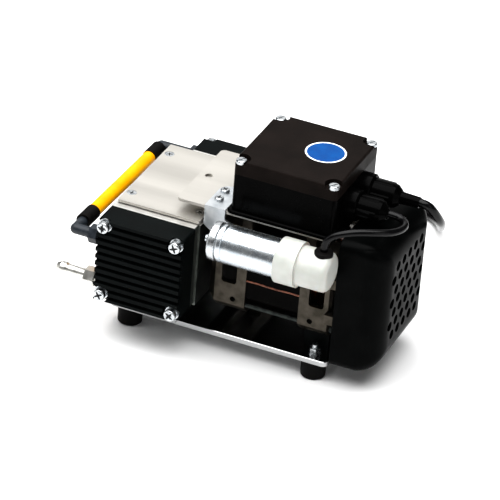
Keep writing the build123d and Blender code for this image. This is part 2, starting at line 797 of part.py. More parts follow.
# ---- mounting plate under the terminal box ----------------------------------------------
plate_length = plate_right - plate_left
with BuildPart() as mounting_plate:
    with BuildSketch(Plane.XY.offset(plate_bottom)):
        with Locations(((plate_left + plate_right) / 2, 0)):
            RectangleRounded(plate_length, 2 * plate_half_width, 4.0)
        with Locations((plate_left + 7.8, 0)):
            Circle(plate_hole_radius, mode=Mode.SUBTRACT)
    extrude(amount=plate_thick)
keep(mounting_plate, "mounting_plate")

# ---- capacitor strap: top leaf, drop leaf and a flange for the capacitor's stud ----------
strap_mid_x = (strap_left + strap_right) / 2
strap_end_y = -18.0
leaf_y = -plate_half_width - strap_thick
leaf_bottom = plate_top - leaf_drop
can_left = flange_right
can_right = can_left + can_length
cap_right = flange_right - strap_thick
stud_reach = 5.5            # length of the stud and its small nut beyond the cap
small_nut_height = 4.0
can_stud_radius = 3.0
with BuildPart() as capacitor_strap:
    with BuildSketch(Plane.XY.offset(plate_top)):
        with Locations((strap_mid_x, (leaf_y + strap_end_y) / 2)):
            Rectangle(strap_width, strap_end_y - leaf_y)
        with Locations((strap_mid_x, strap_end_y)):
            Circle(strap_width / 2)
    extrude(amount=strap_thick)
    with BuildSketch(Plane.XZ.offset(plate_half_width)):
        with BuildLine():
            Polyline(
                (strap_left, plate_top + strap_thick), (strap_right, plate_top + strap_thick),
                (strap_right, leaf_bottom + 11.0), (flange_right, leaf_bottom + 8.0),
                (flange_right, leaf_bottom - 8.0), (strap_right, leaf_bottom - 8.0),
                (strap_left + 4.0, leaf_bottom), (strap_left, leaf_bottom + 3.0), close=True)
        make_face()
    extrude(amount=strap_thick)
    with BuildSketch(Plane.YZ.offset(cap_right)):
        with Locations((can_y, can_z)):
            Circle(can_radius - 1.8)
        with Locations(((can_y + leaf_y) / 2, can_z - 3.8)):
            Rectangle(leaf_y - can_y, 16.0)
        with Locations((can_y, can_z)):
            Circle(can_stud_radius + touch_gap, mode=Mode.SUBTRACT)
    extrude(amount=strap_thick)
keep(capacitor_strap, "capacitor_strap")

screw_spots = ((strap_mid_x - 3.1, strap_end_y - 0.8), (strap_mid_x - 2.1, strap_end_y - 14.4))
with BuildPart() as strap_screws:
    with BuildSketch(Plane.XY.offset(plate_top + strap_thick)):
        with Locations(*screw_spots):
            Circle(3.6)
    extrude(amount=2.2)
    fillet(strap_screws.faces().sort_by(Axis.Z)[-2:].edges(), radius=0.9)
    with BuildSketch(Plane.XY.offset(plate_bottom - 2.0)):
        with Locations(*screw_spots):
            Circle(1.6)
    extrude(amount=2.0)
keep(strap_screws, "strap_screws")

# ---- capacitor: can with its stud, clamping cap, rubber boot and grommet -------------------
can_axis = Axis((0, can_y, can_z), (1, 0, 0))
can_plane = Plane(origin=(0, can_y, can_z), x_dir=(1, 0, 0), z_dir=(0, -1, 0))
cap_left = cap_right - cap_thick
with BuildPart() as capacitor_can:
    with BuildSketch(can_plane):
        with BuildLine():
            Polyline(
                (cap_left - stud_reach, 0), (cap_left - stud_reach, can_stud_radius),
                (can_left, can_stud_radius), (can_left, can_radius), (can_left + 2.4, can_radius),
                (can_left + 3.2, can_radius - 0.7), (can_left + 4.0, can_radius),
                (can_right, can_radius), (can_right, 0), close=True)
        make_face()
    revolve(axis=can_axis)
keep(capacitor_can, "capacitor_can")

with BuildPart() as capacitor_nut:
    with BuildSketch(Plane(origin=(cap_right, can_y, can_z), x_dir=(0, 1, 0), z_dir=(-1, 0, 0))):
        Circle(can_radius)
    extrude(amount=cap_thick)
    fillet(capacitor_nut.edges().filter_by(GeomType.CIRCLE), radius=1.4)
    with BuildSketch(Plane(origin=(cap_left, can_y, can_z), x_dir=(0, 1, 0), z_dir=(-1, 0, 0))):
        RegularPolygon(hexagon_radius(8.0), 6)
    extrude(amount=small_nut_height)
    with BuildSketch(Plane(origin=(cap_right, can_y, can_z), x_dir=(0, 1, 0), z_dir=(-1, 0, 0))):
        Circle(can_stud_radius)
    extrude(amount=cap_thick + small_nut_height, mode=Mode.SUBTRACT)
keep(capacitor_nut, "capacitor_nut")

grommet_seat = can_z + boot_radius - 2.3
grommet_top = can_z + boot_radius + grommet_height
grommet_neck = grommet_radius - 2.0
with BuildPart() as capacitor_boot:
    with BuildSketch(can_plane):
        with BuildLine():
            Polyline(
                (collar_left, 0), (collar_left, collar_radius), (collar_right, collar_radius),
                (collar_right, boot_radius), (boot_right, boot_radius), (boot_right, 0), close=True)
        make_face()
    revolve(axis=can_axis)
    fillet(capacitor_boot.faces().sort_by(Axis.X)[-1].edges(), radius=boot_round)
    fillet(capacitor_boot.faces().sort_by(Axis.X)[0].edges(), radius=1.0)
    with BuildSketch(Plane(origin=(collar_left, can_y, can_z), x_dir=(0, 1, 0), z_dir=(1, 0, 0))):
        Circle(can_radius)
    extrude(amount=can_right - collar_left, mode=Mode.SUBTRACT)
    with BuildSketch(Plane(origin=(can_right, can_y, can_z), x_dir=(0, 1, 0), z_dir=(1, 0, 0))):
        Circle(can_radius - 3.0)
    extrude(amount=boot_right - can_right - 4.0, mode=Mode.SUBTRACT)
    with BuildSketch(Plane(origin=(grommet_x, can_y, grommet_seat), x_dir=(1, 0, 0), z_dir=(0, 0, 1))):
        Circle(grommet_radius)
    extrude(amount=boot_radius, mode=Mode.SUBTRACT)
    with BuildSketch(Plane(origin=(grommet_x, can_y, can_z), x_dir=(1, 0, 0), z_dir=(0, 0, 1))):
        Circle(grommet_neck)
    extrude(amount=boot_radius, mode=Mode.SUBTRACT)
keep(capacitor_boot, "capacitor_boot")

with BuildPart() as boot_grommet:
    with BuildSketch(Plane(origin=(grommet_x, can_y, grommet_seat), x_dir=(1, 0, 0), z_dir=(0, 0, 1))):
        Circle(grommet_radius)
    extrude(amount=grommet_top - grommet_seat)
    fillet(boot_grommet.faces().sort_by(Axis.Z)[-1].edges(), radius=1.2)
    with BuildSketch(Plane(origin=(grommet_x, can_y, grommet_seat), x_dir=(1, 0, 0), z_dir=(0, 0, 1))):
        Circle(grommet_neck)
    extrude(amount=-3.0)
keep(boot_grommet, "boot_grommet")

# ---- terminal box ------------------------------------------------------------------------
wall_foot = plate_top + box_flange_thick
box_inner = box_size - 2 * box_wall
flange_size = box_size + 2 * box_flange
with BuildPart() as terminal_box:
    with BuildSketch(Plane.XY.offset(plate_top)):
        with Locations((box_mid_x, 0)):
            RectangleRounded(flange_size, flange_size, box_corner + 1.0)
    extrude(amount=box_flange_thick)
    chamfer(terminal_box.faces().sort_by(Axis.Z)[-1].edges(), length=0.8)
    with BuildSketch(Plane.XY.offset(wall_foot)):
        with Locations((box_mid_x, 0)):
            RectangleRounded(box_size, box_size, box_corner)
            RectangleRounded(box_inner, box_inner, 2.0, mode=Mode.SUBTRACT)
            with GridLocations(box_screw_pitch - 4.0, box_screw_pitch - 4.0, 2, 2):
                Circle(5.0)
    extrude(amount=box_seam - wall_foot)
    with BuildSketch(Plane(origin=(box_right, 0, gland_z), x_dir=(0, 1, 0), z_dir=(1, 0, 0))):
        with GridLocations(gland_pitch, 0, 2, 1):
            Circle(gland_flats / 3)
    extrude(amount=-2 * box_wall, mode=Mode.SUBTRACT)
keep(terminal_box, "terminal_box")

with BuildPart() as box_lid:
    with BuildSketch(Plane.XY.offset(box_seam)):
        with Locations((box_mid_x, 0)):
            RectangleRounded(box_size, box_size, box_corner)
    extrude(amount=lid_height)
    fillet(box_lid.faces().sort_by(Axis.Z)[-1].edges(), radius=2.0)
    with BuildSketch(Plane.XY.offset(box_seam)):
        with Locations((box_mid_x, 0)):
            RectangleRounded(box_size - 24.0, box_inner, 3.0)
            RectangleRounded(box_inner, box_size - 24.0, 3.0)
    extrude(amount=lid_height - box_wall, mode=Mode.SUBTRACT)
    with BuildSketch(Plane.XY.offset(box_top)):
        with Locations((box_mid_x, 0)):
            with GridLocations(box_screw_pitch, box_screw_pitch, 2, 2):
                Circle(notch_radius)
    extrude(amount=-notch_depth, mode=Mode.SUBTRACT)
keep(box_lid, "box_lid")

with BuildPart() as lid_screws:
    with BuildSketch(Plane.XY.offset(box_top - notch_depth)):
        with Locations((box_mid_x, 0)):
            with GridLocations(box_screw_pitch, box_screw_pitch, 2, 2):
                Circle(4.3)
    extrude(amount=lid_screw_height)
    fillet(lid_screws.faces().sort_by(Axis.Z)[-4:].edges(), radius=1.0)
    with BuildSketch(Plane.XY.offset(box_top - notch_depth + lid_screw_height)):
        with Locations((box_mid_x, 0)):
            with GridLocations(box_screw_pitch, box_screw_pitch, 2, 2):
                Rectangle(9.0, 1.1, rotation=60)
    extrude(amount=-1.1, mode=Mode.SUBTRACT)
keep(lid_screws, "lid_screws")


# ---- cable glands -------------------------------------------------------------------------
def make_gland(gland_y, end_length, end_radius):
    """Cable gland on the box's right wall: round base, hexagon, domed nut and end sleeve."""
    profile = Plane(origin=(box_right, gland_y, gland_z), x_dir=(1, 0, 0), z_dir=(0, -1, 0))
    nut_plane = Plane(origin=(box_right + gland_base_length, gland_y, gland_z),
                      x_dir=(0, 1, 0), z_dir=(1, 0, 0))
    nut_right = gland_base_length + gland_nut_length
    dome_right = nut_right + gland_dome_length
    sleeve_right = dome_right + end_length
    with BuildPart() as gland:
        with BuildSketch(profile):
            with BuildLine():
                Polyline(
                    (-2 * box_wall, 0), (-2 * box_wall, gland_flats / 3), (0, gland_flats / 3),
                    (0, gland_base_radius), (gland_base_length - 1.0, gland_base_radius),
                    (gland_base_length, gland_base_radius - 1.0), (gland_base_length, gland_dome_radius),
                    (nut_right, gland_dome_radius), (nut_right + 3.0, gland_dome_radius - 0.8),
                    (dome_right, end_radius + 1.4), (dome_right, end_radius + 0.6),
                    (sleeve_right, end_radius), (sleeve_right, 0), close=True)
            make_face()
        revolve(axis=Axis((0, gland_y, gland_z), (1, 0, 0)))
        with BuildSketch(nut_plane):
            RegularPolygon(hexagon_radius(gland_flats), 6, rotation=48)
        extrude(amount=gland_nut_length)
    return gland


gland_end = box_right + gland_base_length + gland_nut_length + gland_dome_length
lead_gland = make_gland(lead_gland_y, 1.0, lead_diameter / 2 + 0.8)
keep(lead_gland, "lead_gland")
mains_gland = make_gland(mains_gland_y, mains_sleeve_length, mains_diameter / 2 + 0.8)
keep(mains_gland, "mains_gland")

# ---- hose line between the upper ports of the heads ------------------------------------------
front_bend = Vector(front_bend_x, -port_reach, port_heights(-1)[0])
rear_bend = Vector(rear_bend_x, port_reach, port_heights(1)[0])
hose_run = rear_bend - front_bend
hose_way = hose_run.normalized()


def hose_plane(distance):
    """Plane square to the hose line at a distance from the front elbow's bend."""
    return Plane(origin=front_bend + hose_way * distance, z_dir=hose_way)


def make_elbow(side, head_x, bend, start, toward):
    """Elbow fitting: thread and hexagon at the head, then a leg turned towards the hose."""
    face = port_plane(head_x, side, bend.Z)
    leg = Plane(origin=bend, z_dir=hose_way * toward)
    with BuildPart() as elbow:
        with BuildSketch(face):
            Circle(port_radius)
        extrude(amount=-port_depth / 2)
        with BuildSketch(face.offset(1.0)):
            RegularPolygon(hexagon_radius(hex_flats), 6)
        extrude(amount=hex_height)
        with BuildSketch(face):
            Circle(elbow_radius)
        extrude(amount=head_x - head_size / 2 - bend.X)
        with Locations(bend):
            Sphere(elbow_radius)
        with BuildSketch(leg):
            Circle(elbow_radius)
        extrude(amount=start + sleeve_length - sleeve_overlap)
        with BuildSketch(leg):
            Circle(hose_bore)
        extrude(amount=start + sleeve_length - 1.0)
    return elbow


front_elbow = make_elbow(-1, front_head_x, front_bend, front_sleeve_start, 1)
keep(front_elbow, "front_elbow")
rear_elbow = make_elbow(1, rear_head_x, rear_bend, rear_sleeve_start, -1)
keep(rear_elbow, "rear_elbow")

hose_start = front_sleeve_start + sleeve_length - sleeve_overlap
hose_stop = hose_run.length - rear_sleeve_start - sleeve_length + sleeve_overlap
with BuildPart() as hose:
    with BuildSketch(hose_plane(hose_start)):
        Circle(hose_radius)
        Circle(hose_bore, mode=Mode.SUBTRACT)
    extrude(amount=hose_stop - hose_start)
keep(hose, "hose")

with BuildPart() as hose_sleeves:
    for sleeve_start in (front_sleeve_start, hose_run.length - rear_sleeve_start - sleeve_length):
        with BuildSketch(hose_plane(sleeve_start)):
            Circle(sleeve_radius)
        extrude(amount=sleeve_length)
    with BuildSketch(hose_plane(0)):
        Circle(elbow_radius)
    extrude(amount=hose_run.length, mode=Mode.SUBTRACT)
    with BuildSketch(hose_plane(hose_start)):
        Circle(hose_radius)
    extrude(amount=hose_stop - hose_start, mode=Mode.SUBTRACT)
keep(hose_sleeves, "hose_sleeves")

# ---- inlet nozzle ---------------------------------------------------------------------------
nozzle_z = port_heights(-1)[1]
nozzle_face = port_plane(front_head_x, -1, nozzle_z)
nozzle_left = front_head_x - head_size / 2
with BuildPart() as inlet_nozzle:
    with BuildSketch(nozzle_face):
        Circle(port_radius)
    extrude(amount=-port_depth / 2)
    with BuildSketch(nozzle_face.offset(1.5)):
        RegularPolygon(hexagon_radius(hex_flats), 6)
    extrude(amount=8.5)
    with BuildSketch(nozzle_face):
        Circle(port_radius)
    extrude(amount=30.0)
    with BuildSketch(Plane(origin=(nozzle_left, -port_reach, nozzle_z), x_dir=(-1, 0, 0), z_dir=(0, -1, 0))):
        with BuildLine():
            Polyline((25.0, 0), (25.0, port_radius), (27.0, 5.2), (31.0, 5.2), (34.5, 3.6), (34.5, 0), close=True)
        make_face()
    revolve(axis=Axis((0, -port_reach, nozzle_z), (1, 0, 0)))
    with BuildSketch(nozzle_face.offset(35.0)):
        Circle(2.4)
    extrude(amount=-45.0, mode=Mode.SUBTRACT)
keep(inlet_nozzle, "inlet_nozzle")


# ---- leads ----------------------------------------------------------------------------------
def route_radii(points):
    """Largest arc at each corner: 0.45 of the shorter run over the tangent of half the turn."""
    radii = []
    for before, corner, after in zip(points, points[1:], points[2:]):
        run_in = Vector(*corner) - Vector(*before)
        run_out = Vector(*after) - Vector(*corner)
        half_turn = math.radians(run_in.get_angle(run_out)) / 2
        radii.append(0.45 * min(run_in.length, run_out.length) / math.tan(half_turn))
    return radii


def make_tube(points, diameter, label):
    """Round tube along straight runs joined by tangent arcs."""
    radii = route_radii(points)
    print(label, "radii", [round(radius, 1) for radius in radii])
    with BuildPart() as tube:
        with BuildLine() as path:
            FilletPolyline(*points, radius=radii)
        with BuildSketch(Plane(origin=path.line @ 0, z_dir=path.line % 0)):
            Circle(diameter / 2)
        sweep()
    length = sum(edge.length for edge in path.edges())
    section = math.pi * diameter ** 2 / 4
    print(label, "length", round(length, 1), "volume ratio",
          round(tube.part.volume / (section * length), 5))
    return tube


lead_start = gland_end + 1.0
lead_points = [
    (lead_start, lead_gland_y, gland_z), (lead_start + 6.5, lead_gland_y, gland_z),
    (130.0, -15.8, 142.2), (134.5, -21.0, 141.6), (134.5, -29.5, 141.8), (130.0, -39.0, 142.6),
    (121.0, -48.0, 144.3), (109.5, -55.5, 145.2), (99.0, -61.0, 143.8), (91.0, -64.2, 140.2),
    (grommet_x, can_y, 134.5), (grommet_x, can_y, grommet_top)]
capacitor_lead = make_tube(lead_points, lead_diameter, "capacitor_lead")
keep(capacitor_lead, "capacitor_lead")

coil_x, coil_y = coil_centre
outer_turn = coil_radius + mains_diameter * (coil_turns_wide - 1) / 2
cable_z = mains_diameter / 2
mains_start = gland_end + mains_sleeve_length
cable_points = [
    (mains_start, mains_gland_y, gland_z), (mains_start + 6.0, mains_gland_y, gland_z),
    (142.5, 17.5, 136.5), (145.8, 26.0, 124.5), (142.5, 42.0, 112.0), (132.5, 71.0, 93.8),
    (120.0, 110.0, 69.0), (107.5, 150.0, 44.5), (96.0, 187.0, 22.0), (86.0, 214.0, 8.0),
    (70.0, 231.0, cable_z), (47.0, 236.0, cable_z), (23.0, 229.0, cable_z), (2.5, 213.0, cable_z),
    (-10.0, 192.0, cable_z), (coil_x - outer_turn + 0.4, 178.0, cable_z), (coil_x - outer_turn, 164.0, cable_z)]
upper_turn_z = (coil_turns_high - 0.5) * mains_diameter
tail_points = [
    (coil_x - outer_turn, 150.0, upper_turn_z), (coil_x - outer_turn - 1.0, 140.0, 9.2),
    (-21.5, 128.5, 5.4), (-31.5, 121.0, 4.6), (-43.0, plug_y, plug_z), (-54.0, plug_y, plug_z)]
tail_end = tail_points[-1]
mains_cable = make_tube(cable_points, mains_diameter, "mains_cable")
cable_tail = make_tube(tail_points, mains_diameter, "cable_tail")
mains_cable.part = Part() + [mains_cable.part, cable_tail.part]
keep(mains_cable, "mains_cable")

with BuildPart() as cable_coil:
    with BuildSketch(Plane(origin=(coil_x, coil_y, 0), x_dir=(1, 0, 0), z_dir=(0, -1, 0))):
        with Locations((coil_radius, coil_turns_high * mains_diameter / 2)):
            RectangleRounded(coil_turns_wide * mains_diameter, coil_turns_high * mains_diameter, cable_z * 0.95)
    revolve(axis=Axis((coil_x, coil_y, 0), (0, 0, 1)))
keep(cable_coil, "cable_coil")

# ---- mains plug: two-pin plug with a tapered sleeve at the free end of the lead ----------------
sleeve_left = tail_end[0] - 20.0
plug_left = sleeve_left - plug_length
with BuildPart() as mains_plug:
    with BuildSketch(Plane(origin=(tail_end[0], plug_y, plug_z), x_dir=(0, 1, 0), z_dir=(-1, 0, 0))):
        Circle(mains_diameter / 2 + 1.0)
    with BuildSketch(Plane(origin=(sleeve_left, plug_y, plug_z), x_dir=(0, 1, 0), z_dir=(-1, 0, 0))):
        Circle(mains_diameter / 2 + 2.6)
    loft()
    with BuildSketch(Plane.XY):
        with Locations(((sleeve_left + plug_left) / 2, plug_y)):
            RectangleRounded(plug_length, 26.0, 3.0)
    extrude(amount=plug_height)
    with BuildSketch(Plane(origin=(plug_left, plug_y, plug_z), x_dir=(0, 1, 0), z_dir=(-1, 0, 0))):
        with GridLocations(18.6, 0, 2, 1):
            Circle(2.0)
    extrude(amount=19.0)
keep(mains_plug, "mains_plug")
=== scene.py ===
import json
import math

import bmesh
import bpy
from mathutils import Matrix, Vector


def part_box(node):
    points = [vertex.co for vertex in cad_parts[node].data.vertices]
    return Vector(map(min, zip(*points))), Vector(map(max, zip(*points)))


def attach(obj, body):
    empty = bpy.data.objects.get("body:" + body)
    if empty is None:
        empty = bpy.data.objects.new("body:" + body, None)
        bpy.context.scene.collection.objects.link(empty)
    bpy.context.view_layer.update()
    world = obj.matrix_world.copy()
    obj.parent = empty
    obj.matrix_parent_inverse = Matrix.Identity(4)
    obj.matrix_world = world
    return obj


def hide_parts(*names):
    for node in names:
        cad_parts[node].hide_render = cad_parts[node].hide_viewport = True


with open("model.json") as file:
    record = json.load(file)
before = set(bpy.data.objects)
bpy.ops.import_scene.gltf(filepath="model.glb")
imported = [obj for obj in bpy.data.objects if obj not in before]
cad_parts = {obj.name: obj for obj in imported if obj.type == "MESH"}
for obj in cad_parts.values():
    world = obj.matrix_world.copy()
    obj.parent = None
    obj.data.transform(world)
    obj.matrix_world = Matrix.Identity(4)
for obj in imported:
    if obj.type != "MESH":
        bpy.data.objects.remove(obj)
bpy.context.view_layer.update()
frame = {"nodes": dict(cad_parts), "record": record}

MM = 0.001

# ---- camera ----------------------------------------------------------------------------
# A long lens stands high in front of the pump, a little towards the fan, so the hose line
# is on the left and the fan on the right, and the frame leans slightly.
camera_place = Vector((0.89503, -2.32018, 1.54722))
camera_aim = Vector((-0.3084676, 0.8021986, -0.5111997))
camera_up = Vector((-0.26125045, 0.44529586, 0.85642268))
camera_side = camera_aim.cross(camera_up).normalized()
camera_up = camera_side.cross(camera_aim).normalized()
camera_data = bpy.data.cameras.new("studio_camera")
camera_data.lens = 267.8
camera_data.sensor_width = 36.0
camera_data.clip_end = 20.0
camera = bpy.data.objects.new("studio_camera", camera_data)
camera.matrix_world = Matrix.Translation(camera_place) @ Matrix(
    (camera_side, camera_up, -camera_aim)).transposed().to_4x4()
bpy.context.scene.collection.objects.link(camera)
bpy.context.scene.camera = camera


# ---- mains lead ------------------------------------------------------------------------
# A black lead of 1.8 m leaves the mains gland, drops behind the pump and is put away there in
# a neat coil of two layers of three turns, with its plug beside it.
def lead_curve(name, points, diameter):
    """Smooth round lead that follows the points, which are in millimetres."""
    data = bpy.data.curves.new(name, "CURVE")
    data.dimensions = "3D"
    data.bevel_depth = diameter * MM / 2
    data.bevel_resolution = 6
    data.resolution_u = 8
    data.use_fill_caps = True
    spline = data.splines.new("NURBS")
    spline.points.add(len(points) - 1)
    for control, point in zip(spline.points, points):
        control.co = (*(value * MM for value in point), 1.0)
    spline.order_u = 3
    spline.use_endpoint_u = True
    return bpy.data.objects.new(name, data)


def step(start, end, value):
    """Smooth step from 0 to 1 as the value goes from start to end."""
    share = min(max((value - start) / (end - start), 0.0), 1.0)
    return share * share * (3 - 2 * share)


mains_diameter = 7.0
coil_x, coil_y = 28.0, 150.0
coil_radius = 36.0
coil_turns = 6
points_each_turn = 24
cable_z = mains_diameter / 2
coil_points = []
for count in range(1, coil_turns * points_each_turn):
    turn, share = divmod(count / points_each_turn, 1.0)
    moved = turn + step(0.76, 1.0, share)
    layer = step(2.0, 3.0, moved)
    ring = 1 - moved if moved < 2 else (-1 if moved < 3 else moved - 4)
    radius = coil_radius + mains_diameter * ring
    angle = math.pi + 2 * math.pi * share
    coil_points.append((
        coil_x + radius * math.cos(angle), coil_y + radius * math.sin(angle),
        cable_z + mains_diameter * layer))
mains_points = [
    (132.0, 14.0, 142.7), (138.0, 14.0, 142.7), (142.5, 17.5, 136.5), (145.8, 26.0, 124.5),
    (142.5, 42.0, 112.0), (132.5, 71.0, 93.8), (120.0, 110.0, 69.0), (107.5, 150.0, 44.5),
    (96.0, 187.0, 22.0), (86.0, 214.0, 8.0), (70.0, 231.0, 3.5), (47.0, 236.0, 3.5),
    (23.0, 229.0, 3.5), (2.5, 213.0, 3.5), (-10.0, 192.0, 3.5), (-14.6, 178.0, 3.5), (-15.0, 164.0, 3.5)]
tail_points = [
    (-15.0, 150.0, 10.5), (-16.0, 140.0, 9.9), (-21.5, 128.5, 5.4), (-31.5, 121.0, 4.6),
    (-43.0, 118.0, 6.75), (-54.0, 118.0, 6.75)]
mains_lead = lead_curve("mains_lead", mains_points + coil_points + tail_points, mains_diameter)


def linear(web_colour):
    """Scene-linear colour, with alpha, of a web colour such as "1b1c1e"."""
    channels = [int(web_colour[start:start + 2], 16) / 255 for start in (0, 2, 4)]
    return [c / 12.92 if c <= 0.04045 else ((c + 0.055) / 1.055) ** 2.4 for c in channels] + [1.0]


def add(material, kind, sockets=None, **settings):
    """One node of a material: settings are its properties, sockets its values or links."""
    made = material.node_tree.nodes.new(kind)
    for name, value in settings.items():
        setattr(made, name, value)
    for name, value in (sockets or {}).items():
        if isinstance(value, bpy.types.NodeSocket):
            material.node_tree.links.new(value, made.inputs[name])
        else:
            made.inputs[name].default_value = value
    return made


def finish(name, tones, gloss, patch, grain, relief, metallic=0.0, stretch=(1, 1, 1), mirror=0.5):
    """Finish whose tone and gloss wander in patches and whose grain stands in relief.

    tones and gloss are pairs; patch, grain and relief are in millimetres; mirror is the
    shader's specular level, low where an old black skin hardly mirrors the room.
    """
    material = bpy.data.materials.new(name)
    material.use_nodes = True
    shader = material.node_tree.nodes["Principled BSDF"]
    shader.inputs["Metallic"].default_value = metallic
    shader.inputs["Specular IOR Level"].default_value = mirror
    place = add(material, "ShaderNodeTexCoord").outputs["Object"]
    place = add(material, "ShaderNodeMapping", {"Vector": place, "Scale": stretch}).outputs[0]
    patches = add(material, "ShaderNodeTexNoise", {
        "Vector": place, "Scale": 1 / (patch * MM), "Detail": 5.0})
    ramp = add(material, "ShaderNodeValToRGB", {"Fac": patches.outputs["Fac"]})
    for stop, tone, at in zip(ramp.color_ramp.elements, tones, (0.35, 0.68)):
        stop.color = linear(tone)
        stop.position = at
    shine = add(material, "ShaderNodeMapRange", {
        "Value": patches.outputs["Fac"], "From Min": 0.3, "From Max": 0.7,
        "To Min": gloss[0], "To Max": gloss[1]})
    grains = add(material, "ShaderNodeTexNoise", {
        "Vector": place, "Scale": 1 / (grain * MM), "Detail": 3.0})
    bump = add(material, "ShaderNodeBump", {
        "Height": grains.outputs["Fac"], "Distance": relief * MM, "Strength": 1.0})
    for socket, made in (("Base Color", ramp), ("Roughness", shine), ("Normal", bump)):
        material.node_tree.links.new(made.outputs[0], shader.inputs[socket])
    return material


def tint_where(material, mask, tone):
    """Gives a finish another tone where the mask is 1."""
    shader = material.node_tree.nodes["Principled BSDF"]
    tinted = add(material, "ShaderNodeMix", {
        "Factor": mask, 6: shader.inputs["Base Color"].links[0].from_socket, 7: linear(tone)},
        data_type="RGBA")
    material.node_tree.links.new(tinted.outputs[2], shader.inputs["Base Color"])


slot_of_node = {part["node"]: part["material_slot"] for part in frame["record"]["subparts"]}


def dress(material, *slots):
    """Gives the material to every CAD node of these record slots."""
    for node_name, node in frame["nodes"].items():
        if slot_of_node[node_name] in slots:
            node.data.materials.clear()
            node.data.materials.append(material)


def put(piece, material):
    """Adds a new piece to the fixed body, with its material."""
    bpy.context.scene.collection.objects.link(piece)
    piece.data.materials.append(material)
    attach(piece, "frame")


# Black PVC sheath: nearly smooth, with a long highlight broken a little by its drawn skin.
sheath = finish("black_pvc_sheath", ("040405", "080809"), (0.18, 0.26), 9.0, 0.9, 0.012, mirror=0.2)
dress(sheath, "cable_sheath")
put(mains_lead, sheath)
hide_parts("mains_cable", "cable_coil")

# The plug is moulded in a slightly greyer black PVC, with nickel-plated pins at its far end.
plug_finish = finish("plug_and_pins", ("08080a", "0e0f11"), (0.24, 0.34), 9.0, 0.9, 0.012)
pin_length = 19 * MM
plug_place = add(plug_finish, "ShaderNodeTexCoord").outputs["Object"]
plug_place = add(plug_finish, "ShaderNodeSeparateXYZ", {0: plug_place})
pins = add(plug_finish, "ShaderNodeMath", {
    0: plug_place.outputs["X"], 1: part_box("mains_plug")[0][0] + pin_length}, operation="LESS_THAN")
tint_where(plug_finish, pins.outputs[0], "c9c6bd")
plug_shader = plug_finish.node_tree.nodes["Principled BSDF"]
plug_finish.node_tree.links.new(pins.outputs[0], plug_shader.inputs["Metallic"])
frame["nodes"]["mains_plug"].data.materials[0] = plug_finish

# ---- capacitor lead --------------------------------------------------------------------
# A thinner lead arches from its gland on the box down into the grommet on the capacitor's boot.
capacitor_lead = lead_curve("boot_lead", [
    (117.8, -14.0, 142.7), (124.3, -14.0, 142.7), (130.0, -15.8, 142.2), (134.5, -21.0, 141.6),
    (134.5, -29.5, 141.8), (130.0, -39.0, 142.6), (121.0, -48.0, 144.3), (109.5, -55.5, 145.2),
    (99.0, -61.0, 143.8), (91.0, -64.2, 140.2), (87.0, -65.0, 134.5), (87.0, -65.0, 127.4)], 5.6)
put(capacitor_lead, sheath)
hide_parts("capacitor_lead")

# ---- edges of the hard pieces ----------------------------------------------------------
# Cast, bent and moulded pieces have slightly broken edges, which catch the light as thin lines.
def break_edges(width, *node_names):
    """Rounds the sharp edges of CAD nodes by a width in millimetres."""
    for node_name in node_names:
        bevel = frame["nodes"][node_name].modifiers.new("broken_edges", "BEVEL")
        bevel.width = width * MM
        bevel.segments = 2
        bevel.limit_method = "ANGLE"
        bevel.angle_limit = math.radians(40)


break_edges(0.35, "base_plate", "mounting_plate", "case_lid", "capacitor_strap", "case_gasket")
break_edges(0.5, "front_head_cover", "rear_head_cover", "front_valve_plate", "rear_valve_plate", "crankcase")

# ---- sheet metal: base plate, mounting plate, crankcase lid and strap ------------------
# Clear-anodised rolled sheet: pale silver, with fine brushing along the shaft and soft gloss.
sheet = finish("brushed_sheet", ("bcb9b3", "cac7c1"), (0.5, 0.6), 22.0, 0.35, 0.006, 1.0, (0.04, 1, 1))
dress(sheet, "sheet_aluminium")

# The base plate is polished, so its top mirrors the dark motor over it.
polished = finish("polished_plate", ("a6a7a8", "bdbebe"), (0.08, 0.16), 30.0, 0.6, 0.002, 1.0, (0.1, 1, 1))
frame["nodes"]["base_plate"].data.materials[0] = polished

# The strap is zinc plated with a bluish passivation, a shade cooler than the sheet beside it.
blue_zinc = finish("blue_zinc_strap", ("bfc4c8", "d6d9db"), (0.34, 0.46), 7.0, 0.5, 0.006, 1.0)
frame["nodes"]["capacitor_strap"].data.materials[0] = blue_zinc

# ---- castings: heads, crankcase and motor brackets -------------------------------------
# The heads and their plates are cast and painted satin black, with a fine orange-peel skin.
black_paint = finish("black_cast_paint", ("070a0a", "0d1111"), (0.42, 0.54), 14.0, 0.8, 0.02, mirror=0.05)
dress(black_paint, "black_casting")

# The crankcase is sand-cast alloy in a dull, darker grey. Its faces that point straight up carry a painted
# highlight: a much paler tone that stands for the light from above.
bare_alloy = finish("sand_cast_alloy", ("4f524f", "6b6e6a"), (0.34, 0.5), 10.0, 1.1, 0.04, 1.0)
facing = add(bare_alloy, "ShaderNodeNewGeometry").outputs["Normal"]
facing = add(bare_alloy, "ShaderNodeSeparateXYZ", {0: facing})
# Painted highlight: faces whose normal points nearly straight up get the pale tone.
painted_top_light = add(bare_alloy, "ShaderNodeMath", {0: facing.outputs["Z"], 1: 0.9}, operation="GREATER_THAN")
tint_where(bare_alloy, painted_top_light.outputs[0], "dddcd8")
dress(bare_alloy, "cast_alloy")

# The motor brackets are bare die castings: grey-brown, dulled by handling.
bare_casting = finish("bare_die_casting", ("37342e", "56514a"), (0.4, 0.6), 8.0, 0.9, 0.05, 1.0)
dress(bare_casting, "bracket_casting")

# ---- fasteners and turned steel --------------------------------------------------------
# Bright zinc on screws, washers, nuts and clips: cool silver, glossy, a little uneven.
zinc = finish("bright_zinc", ("a9adb0", "cfd2d3"), (0.2, 0.36), 2.5, 0.5, 0.008, 1.0)
dress(zinc, "zinc_steel")

